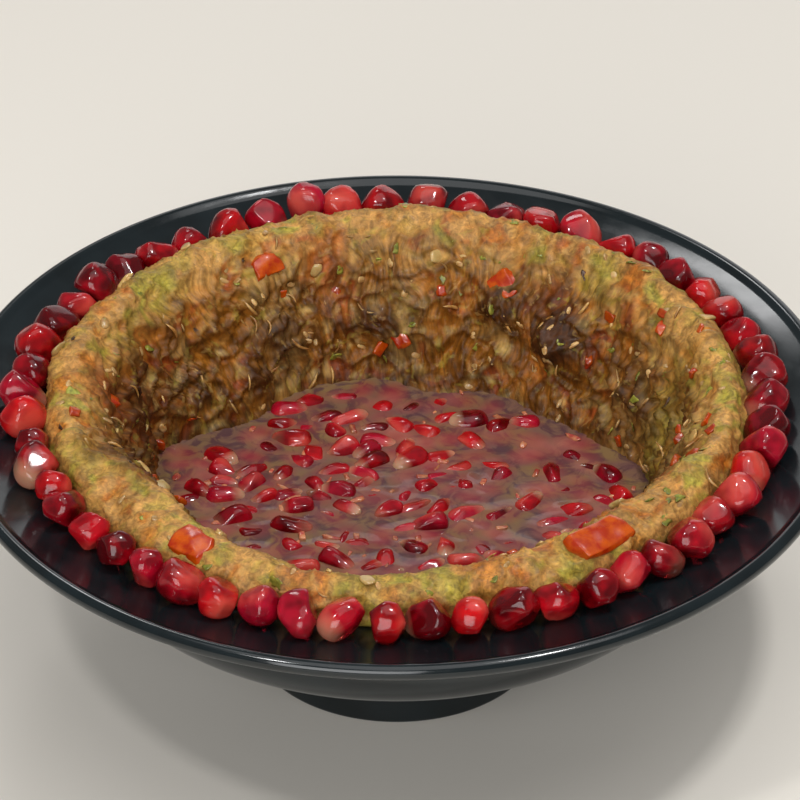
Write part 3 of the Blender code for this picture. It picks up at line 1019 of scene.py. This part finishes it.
class DIP_OT_strands(bpy.types.Operator):
    """Lay loose fibres of flesh down the crater's wall"""

    bl_idname = "dip.strands"
    bl_label = "Flesh Strands"

    def execute(self, context):
        points, normals, rng = mash_spots(context.scene.dip_bits.strands, 16, lambda depth: 0.2 + depth)
        placings = []
        for point, normal in zip(points, normals):
            up = Vector(normal).normalized()
            down = Vector((0, 0, -1)) - up * up.dot(Vector((0, 0, -1)))
            down = down.normalized() if down.length > 0.1 else up.orthogonal().normalized()
            basis = Matrix((down, up.cross(down), up)).transposed().to_4x4()
            spin = Matrix.Rotation(rng.normal(0.0, 0.5), 4, "Z")
            size = rng.uniform(3.0, 5.5)
            place = Matrix.Translation(Vector(point) + up * 0.02)
            placings.append(place @ basis @ spin @ Matrix.Scale(size, 4))
        shapes = [strand(60 + k) for k in range(8)]
        mesh = joined("flesh_strands", shapes, placings, {"shade": rng.random(len(points))})
        material = bit_material("flesh_strand", srgb(188, 146, 82), srgb(140, 92, 40), 2.0, 0.32)
        show("flesh_strands", mesh, material, "aubergine_mash")
        return {"FINISHED"}


# ---------------------------------------------------------------- arils

FLANGE_MIDDLE = 78.0
SETTLING_STEPS = 420
UPRIGHT_ARIL = 103.0  # degrees


def aril_shape(seed, rows=26, columns=16):
    """A plump seed 1 mm long with soft facets, its root at -X and its round end at +X."""
    rng = np.random.default_rng(seed)
    u = np.linspace(0.0, 1.0, columns)
    x = -0.5 * np.cos(np.pi * u)
    tip = rng.uniform(0.62, 0.85)
    wide = 0.45 * np.sin(np.pi * u) ** 0.75 * (tip + (1 - tip) * (x + 0.5) * 1.6)
    turn = np.linspace(0, 2 * np.pi, rows, endpoint=False)[:, None]
    grid = np.stack([np.broadcast_to(x, (rows, columns)), wide * np.cos(turn), wide * np.sin(turn)], axis=-1)
    for _ in range(9):
        facing = rng.standard_normal(3) * (0.35, 1.0, 1.0)
        facing /= np.linalg.norm(facing)
        far = grid @ facing
        limit = far.max() * rng.uniform(0.68, 0.9)
        over = np.maximum(far - limit, 0.0)
        grid -= (over * 0.8)[..., None] * facing
    dents = [noise_at(grid.reshape(-1, 3), 0.35, seed + k).reshape(rows, columns) for k in range(3)]
    grid += 0.02 * np.stack(dents, axis=-1)
    mesh = skin("aril", grid, start_pole=True, end_pole=True)
    points, faces = mesh_arrays(mesh)
    bpy.data.meshes.remove(mesh)
    side = rng.standard_normal(3) * (0.4, 1.0, 1.0)
    facing = points @ (side / np.linalg.norm(side))
    values = {"along": points[:, 0] + 0.5, "blush": 0.5 + 0.5 * facing / np.abs(facing).max()}
    return points, faces, values


def settle_garland(settings):
    """Where the garland's arils come to rest between the mash and the flange.

    Each aril is two balls, a large one and a smaller one at its root, held a fixed way apart.
    They fall, roll inwards against the mash and push each other apart until nothing moves.
    """
    rng = np.random.default_rng(5)
    count = settings.count
    length = settings.length * rng.uniform(0.92, 1.07, count)
    big = 0.42 * length
    small = 0.31 * length
    apart = length - big - small
    angle = 2 * np.pi * (np.arange(count) + rng.uniform(-0.3, 0.3, count)) / count
    radius = rng.uniform(74.5, 76.5, count)
    height = rng.uniform(60.0, 63.0, count)
    centre = np.stack([radius * np.cos(angle), radius * np.sin(angle), height], axis=-1)
    axis = rng.standard_normal((count, 3)) * (1.0, 1.0, 0.45)
    axis /= np.linalg.norm(axis, axis=1, keepdims=True)
    balls = np.concatenate([centre + axis * apart[:, None] / 2, centre - axis * apart[:, None] / 2])
    sizes = np.concatenate([big, small])
    owner = np.tile(np.arange(count), 2)
    near = np.triu(owner[:, None] != owner[None, :], 1)
    reach = sizes[:, None] + sizes[None, :]
    slope = math.radians(FLANGE_SLOPE)
    base = flange_height(FLANGE_MIDDLE)
    for _ in range(SETTLING_STEPS):
        balls[:, 2] -= 0.05
        flat = np.linalg.norm(balls[:, :2], axis=1)
        outward = balls[:, :2] / flat[:, None]
        balls[:, :2] -= 0.02 * outward
        for _ in range(3):
            gap = balls[:, None] - balls[None]
            far = np.linalg.norm(gap, axis=-1) + 1e-9
            push = np.where(near & (far < reach), (reach - far) * 0.5, 0.0)[..., None] * gap / far[..., None]
            balls += (push.sum(axis=1) - push.sum(axis=0)) * 0.7
            span = balls[:count] - balls[count:]
            stretch = np.linalg.norm(span, axis=1, keepdims=True)
            fix = span / stretch * (stretch - apart[:, None]) / 2
            balls[:count] -= fix
            balls[count:] += fix
            flat = np.linalg.norm(balls[:, :2], axis=1)
            outward = balls[:, :2] / flat[:, None]
            bearing = np.degrees(np.arctan2(balls[:, 1], balls[:, 0]))
            edge = swell(MASH_EDGE + MASH_BULGE, EDGE_SWELLS, bearing)
            lean = np.where(balls[:, 2] > GARLAND_TOP - 1.0, -1.5, 0.0)
            inside = edge + lean + sizes - 0.5 - flat
            outside = flat - (GARLAND_OUTER + 2.2 - sizes)
            shift = np.maximum(inside, 0.0) - np.maximum(outside, 0.0)
            balls[:, :2] += shift[:, None] * outward
            floor = base + (flat + shift - FLANGE_MIDDLE) * math.tan(slope) + sizes / math.cos(slope)
            balls[:, 2] = np.maximum(balls[:, 2], floor)
    return balls[:count], balls[count:], length, rng


def aril_placing(round_end, root_end, length, roll):
    """A placing that lays an aril shape from its root's ball to its round end's ball."""
    along = Vector(round_end - root_end).normalized()
    side = along.orthogonal().normalized()
    basis = Matrix((along, side, along.cross(side))).transposed().to_4x4()
    # The balls' middle isn't the aril's own middle: the large ball reaches further.
    middle = Vector((round_end + root_end) / 2) + along * (0.42 - 0.31) / 2 * length
    return Matrix.Translation(middle) @ basis @ Matrix.Rotation(roll, 4, "X") @ Matrix.Scale(length, 4)


class DIP_OT_garland(bpy.types.Operator):
    """Lay the garland of arils on the flange round the mash"""

    bl_idname = "dip.garland"
    bl_label = "Aril Garland"

    def execute(self, context):
        settings = context.scene.dip_arils
        round_ends, root_ends, lengths, rng = settle_garland(settings)
        # One bright aril stands on its root.
        bearing = np.arctan2(round_ends[:, 1], round_ends[:, 0])
        upright = int(np.argmin(np.abs(bearing - math.radians(UPRIGHT_ARIL))))
        reach = np.linalg.norm(round_ends[upright] - root_ends[upright])
        round_ends[upright] = root_ends[upright] + (0.0, 0.0, reach)
        placings = [
            aril_placing(a, b, size, rng.uniform(0, 2 * math.pi))
            for a, b, size in zip(round_ends, root_ends, lengths)
        ]
        count = len(placings)
        ripe = np.clip(rng.beta(1.4, 1.3, count), 0.0, 1.0)
        pale = np.where(rng.random(count) < 0.2, rng.uniform(0.3, 0.7, count), rng.uniform(0.0, 0.25, count))
        rosy = rng.random(count) ** 1.6
        ripe[upright], pale[upright], rosy[upright] = 1.0, 0.0, 1.0
        shapes = [aril_shape(100 + k) for k in range(12)]
        mesh = joined("garland_arils", shapes, placings, {"ripe": ripe, "pale": pale, "rosy": rosy})
        show("garland_arils", mesh, aril_material("aril_flesh", settings), "pomegranate_aril", "aril_garland")
        return {"FINISHED"}


# ---------------------------------------------------------------- the sauce

SAUCE = {}


def pool_arils(settings, length):
    """Places of the arils in the sauce: the floating ones first, then the sunk ones."""
    rng = np.random.default_rng(9)
    total = settings.floating_arils + settings.sunk_arils
    found = []
    tries = 0
    while len(found) < total and tries < 40000:
        tries += 1
        radius = 50.0 * math.sqrt(rng.random())
        angle = rng.uniform(0, 360)
        limit = float(swell(CRATER_FOOT, CRATER_SWELLS, np.array(angle))) - 3.2
        place = radius * np.array([math.cos(math.radians(angle)), math.sin(math.radians(angle))])
        crowd = 0.55 + 0.9 * noise.noise(Vector((*place, 0.0)) / 16.0) - 0.2 * (radius / 50.0) ** 3
        if radius > limit or rng.random() > crowd:
            continue
        if all(np.linalg.norm(place - other[0]) > 4.0 for other in found):
            found.append((place, rng.normal(0.0, 0.7), length * rng.uniform(0.66, 0.95)))
    return found, rng


class DIP_OT_sauce(bpy.types.Operator):
    """Pour the pomegranate sauce into the crater"""

    bl_idname = "dip.sauce"
    bl_label = "Pomegranate Sauce"

    def execute(self, context):
        settings = context.scene.dip_sauce
        found, rng = pool_arils(settings, context.scene.dip_arils.length)
        SAUCE["arils"] = found
        SAUCE["rng"] = rng
        rows, columns = 620, 112
        angles = np.arange(rows) * 360.0 / rows
        reach = swell(CRATER_FOOT, CRATER_SWELLS, angles) + 3.2
        share = np.linspace(0.0, 1.0, columns) ** 0.9
        flat = reach[:, None] * share[None, :]
        grid = on_axis(flat, np.zeros(columns), angles)
        x, y = grid[..., 0], grid[..., 1]
        places = grid.reshape(-1, 3)
        ripple = (0.12 * noise_at(places, 11.0, 31) + 0.05 * noise_at(places, 4.0, 32)).reshape(flat.shape)
        shore = np.clip((flat - reach[:, None] + 5.0) / 5.0, 0.0, 1.0)
        height = ripple + 0.5 * shore**2
        sunk = np.zeros_like(flat)
        pale = np.zeros_like(flat)
        for number, ((px, py), turn, length) in enumerate(found):
            c, s = math.cos(turn), math.sin(turn)
            along = ((x - px) * c + (y - py) * s) / (0.5 * length)
            across = ((y - py) * c - (x - px) * s) / (0.34 * length)
            away = np.sqrt(along**2 + across**2)
            floats = number < settings.floating_arils
            film = np.exp(-((away / 1.15) ** 4))
            height += (0.14 if floats else 0.05) * film
            strength = 0.45 if floats else rng.uniform(0.35, 0.8)
            sunk = np.maximum(sunk, strength * np.clip(1.35 - away, 0.0, 1.0) ** 0.8)
            pale += film * np.clip(0.5 - along, 0.0, 1.0) * rng.uniform(0.1, 0.8)
        top = grid.copy()
        top[..., 2] = SAUCE_LEVEL + height
        under = top[:, ::-1].copy()
        bed = CRATER_FLOOR + 2.0 + 6.0 * (flat[:, ::-1] / reach[:, None]) ** 3
        under[..., 2] = np.minimum(SAUCE_LEVEL - 0.4, bed)
        under = under[:, [columns // 4, columns // 2, 3 * columns // 4, columns - 1]]
        mesh = skin("pomegranate_sauce", np.concatenate([top, under], axis=1), start_pole=True, end_pole=True)
        for name, values in (("sunk", sunk), ("sunk_pale", np.clip(pale, 0.0, 1.0))):
            padded = np.pad(values[:, 1:], ((0, 0), (0, under.shape[1] - 1)))
            point_values(mesh, name, np.append(padded.ravel(), [values[0, 0], 0.0]))
        show("pomegranate_sauce", mesh, sauce_material(settings), "pomegranate_sauce", "sauce_pool")
        return {"FINISHED"}


class DIP_OT_floating(bpy.types.Operator):
    """Float arils in the sauce, most of each one sunk"""

    bl_idname = "dip.floating"
    bl_label = "Floating Arils"

    def execute(self, context):
        if not SAUCE:
            raise RuntimeError("the sauce has to be poured first")
        rng = SAUCE["rng"]
        placings = []
        for (px, py), turn, length in SAUCE["arils"][: context.scene.dip_sauce.floating_arils]:
            tilt = rng.normal(0.0, 0.16)
            depth = rng.uniform(0.15, 0.85) * 0.33 * length
            place = Matrix.Translation((px, py, SAUCE_LEVEL - depth))
            spin = Matrix.Rotation(turn + (math.pi if rng.random() < 0.5 else 0.0), 4, "Z")
            roll = Matrix.Rotation(tilt, 4, "Y") @ Matrix.Rotation(rng.uniform(0.0, 2 * math.pi), 4, "X")
            slim = Matrix.Diagonal((length, 0.78 * length, 0.78 * length, 1.0))
            placings.append(place @ spin @ roll @ slim)
        count = len(placings)
        values = {
            "ripe": rng.uniform(0.3, 1.0, count),
            "pale": rng.uniform(0.2, 1.0, count),
            "rosy": rng.random(count),
        }
        mesh = joined("floating_arils", [aril_shape(140 + k) for k in range(10)], placings, values)
        material = aril_material("floating_aril_flesh", context.scene.dip_arils)
        show("floating_arils", mesh, material, "pomegranate_aril")
        return {"FINISHED"}


class DIP_OT_fragments(bpy.types.Operator):
    """Float small fragments of pulp and seed in the sauce"""

    bl_idname = "dip.fragments"
    bl_label = "Pulp Fragments"

    def execute(self, context):
        if not SAUCE:
            raise RuntimeError("the sauce has to be poured first")
        rng = np.random.default_rng(21)
        placings = []
        for (px, py), turn, _ in SAUCE["arils"][::3]:
            shift = rng.uniform(2.0, 3.6)
            beside = Vector((math.cos(turn + 1.6), math.sin(turn + 1.6), 0.0))
            place = Matrix.Translation(Vector((px, py, SAUCE_LEVEL)) + shift * beside)
            size = rng.uniform(0.5, 1.2)
            spin = Matrix.Rotation(rng.uniform(0.0, 2 * math.pi), 4, "Z")
            placings.append(place @ spin @ Matrix.Diagonal((2.6 * size, 1.3 * size, 1.1 * size, 1.0)))
        shapes = [blob(80 + k, 4, 0.6, 0.3) for k in range(6)]
        mesh = joined("pulp_fragments", shapes, placings, {"shade": rng.random(len(placings))})
        material = bit_material("pulp_fragment", srgb(196, 128, 88), srgb(164, 62, 54), 1.6, 0.2)
        show("pulp_fragments", mesh, material, "pomegranate_sauce")
        return {"FINISHED"}


# ---------------------------------------------------------------- red pepper pieces


def pepper_mesh(name, seed):
    """A cupped, softly wrinkled slab of pepper that fills the CAD piece's own tilted slab."""
    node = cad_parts[name]
    points, _ = mesh_arrays(node.data)
    centre = (points.max(axis=0) + points.min(axis=0)) / 2
    spread = points - points.mean(axis=0)
    _, _, axes = np.linalg.svd(spread, full_matrices=False)
    size = np.ptp(spread @ axes.T, axis=0)
    if axes[2, 2] < 0:
        axes[2] *= -1
    if np.linalg.det(axes) < 0:
        axes[1] *= -1
    shape, faces, _ = blob(seed, 14, 0.55, 0.2)
    shape /= np.ptp(shape, axis=0)
    cupped = shape.copy()
    cupped[:, 2] += 0.35 * (0.25 - shape[:, 1] ** 2) - 0.08
    placed = centre + (cupped * size) @ axes
    placed += 0.35 * noise_at(placed, 3.0, seed)[:, None] * axes[2] + 0.3 * axes[2]
    mesh = bpy.data.meshes.new(name)
    mesh.from_pydata((placed * MM).tolist(), [], faces)
    mesh.shade_smooth()
    point_values(mesh, "shade", np.full(len(placed), 0.75))
    return mesh


class DIP_OT_peppers(bpy.types.Operator):
    """Set the large pieces of cooked red pepper in the mash"""

    bl_idname = "dip.peppers"
    bl_label = "Pepper Pieces"

    def execute(self, context):
        settings = context.scene.dip_pepper
        material = bit_material("pepper_flesh", settings.skin_colour, settings.deep_colour, 2.4, 0.3, 0.25)
        names = sorted(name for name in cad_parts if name.startswith("pepper_"))
        for seed, name in enumerate(names):
            mesh = pepper_mesh(name, 70 + seed)
            show(name.replace("pepper_", "pepper_piece_"), mesh, material, "red_pepper", name)
        return {"FINISHED"}


# ---------------------------------------------------------------- camera, lights and floor


def aim(thing, target):
    direction = Vector(target) - thing.location
    thing.rotation_euler = direction.to_track_quat("-Z", "Y").to_euler()


def add_light(name, place, target, size, power):
    """A white square softbox."""
    data = bpy.data.lights.new(name, "AREA")
    data.shape = "SQUARE"
    data.size = size
    data.energy = power
    lamp = bpy.data.objects.new(name, data)
    bpy.context.scene.collection.objects.link(lamp)
    lamp.location = place
    aim(lamp, target)


class DIP_OT_stage(bpy.types.Operator):
    """Set the camera, the lights and the pale floor"""

    bl_idname = "dip.stage"
    bl_label = "Stage"

    def execute(self, context):
        scene = context.scene
        settings = scene.dip_stage
        camera = bpy.data.objects.new("camera", bpy.data.cameras.new("camera"))
        scene.collection.objects.link(camera)
        camera.data.sensor_width = 36.0
        camera.data.lens = settings.lens
        camera.data.clip_start = 0.01
        level, rise = math.cos(settings.elevation), math.sin(settings.elevation)
        target = Vector((settings.aim_side, 0.0, settings.aim_height))
        camera.location = target + settings.distance * Vector((0.0, -level, rise))
        camera.rotation_euler = (math.pi / 2 - settings.elevation, 0.0, 0.0)
        scene.camera = camera

        middle = (0.0, 0.0, 0.05)
        add_light("window", (-0.22, 0.68, 0.80), middle, 0.18, settings.key_power)
        add_light("backdrop", (0.15, 1.30, 0.42), middle, 0.8, settings.backdrop_power)
        add_light("overhead", (0.10, -0.15, 1.15), middle, 1.05, settings.fill_power)
        add_light("front", (-0.20, -0.95, 0.46), middle, 0.6, settings.front_power)
        add_light("spark", (0.32, -0.10, 1.0), middle, 0.10, settings.spark_power)
        add_light("second_spark", (-0.34, -0.42, 0.86), middle, 0.07, 0.5 * settings.spark_power)
        world = bpy.data.worlds.new("room")
        world.use_nodes = True
        back = world.node_tree.nodes["Background"]
        back.inputs["Color"].default_value = (1.0, 1.0, 1.0, 1.0)
        back.inputs["Strength"].default_value = settings.world_strength
        scene.world = world
        scene.view_settings.view_transform = "Standard"

        shaper = bmesh.new()
        bmesh.ops.create_grid(shaper, x_segments=1, y_segments=1, size=3.0)
        mesh = bpy.data.meshes.new("floor")
        shaper.to_mesh(mesh)
        shaper.free()
        mesh.materials.append(plain_material("pale_floor", settings.floor_colour, 0.7))
        floor = bpy.data.objects.new("floor", mesh)
        scene.collection.objects.link(floor)
        return {"FINISHED"}


# ---------------------------------------------------------------- add-on


SETTINGS = {
    "dip_bowl": DipBowlSettings,
    "dip_mash": DipMashSettings,
    "dip_bits": DipBitsSettings,
    "dip_sauce": DipSauceSettings,
    "dip_arils": DipArilSettings,
    "dip_pepper": DipPepperSettings,
    "dip_stage": DipStageSettings,
}

OPERATORS = (
    DIP_OT_stage,
    DIP_OT_bowl,
    DIP_OT_mash,
    DIP_OT_seeds,
    DIP_OT_herbs,
    DIP_OT_diced,
    DIP_OT_onions,
    DIP_OT_flakes,
    DIP_OT_strands,
    DIP_OT_sauce,
    DIP_OT_floating,
    DIP_OT_fragments,
    DIP_OT_garland,
    DIP_OT_peppers,
)


class DIP_PT_panel(bpy.types.Panel):
    bl_idname = "DIP_PT_panel"
    bl_label = "Baba Ganoush Bowl"
    bl_space_type = "VIEW_3D"
    bl_region_type = "UI"
    bl_category = "Dip"

    def draw(self, context):
        for operator in OPERATORS:
            self.layout.operator(operator.bl_idname)
        for name, group in SETTINGS.items():
            box = self.layout.box()
            for key in group.__annotations__:
                box.prop(getattr(context.scene, name), key)


def register():
    for group in (*SETTINGS.values(), *OPERATORS, DIP_PT_panel):
        bpy.utils.register_class(group)
    for name, group in SETTINGS.items():
        setattr(bpy.types.Scene, name, PointerProperty(type=group))


def unregister():
    for name in SETTINGS:
        delattr(bpy.types.Scene, name)
    for group in reversed((*SETTINGS.values(), *OPERATORS, DIP_PT_panel)):
        bpy.utils.unregister_class(group)


def main():
    register()
    for operator in OPERATORS:
        category, name = operator.bl_idname.split(".")
        getattr(getattr(bpy.ops, category), name)()


if __name__ == "__main__":
    main()
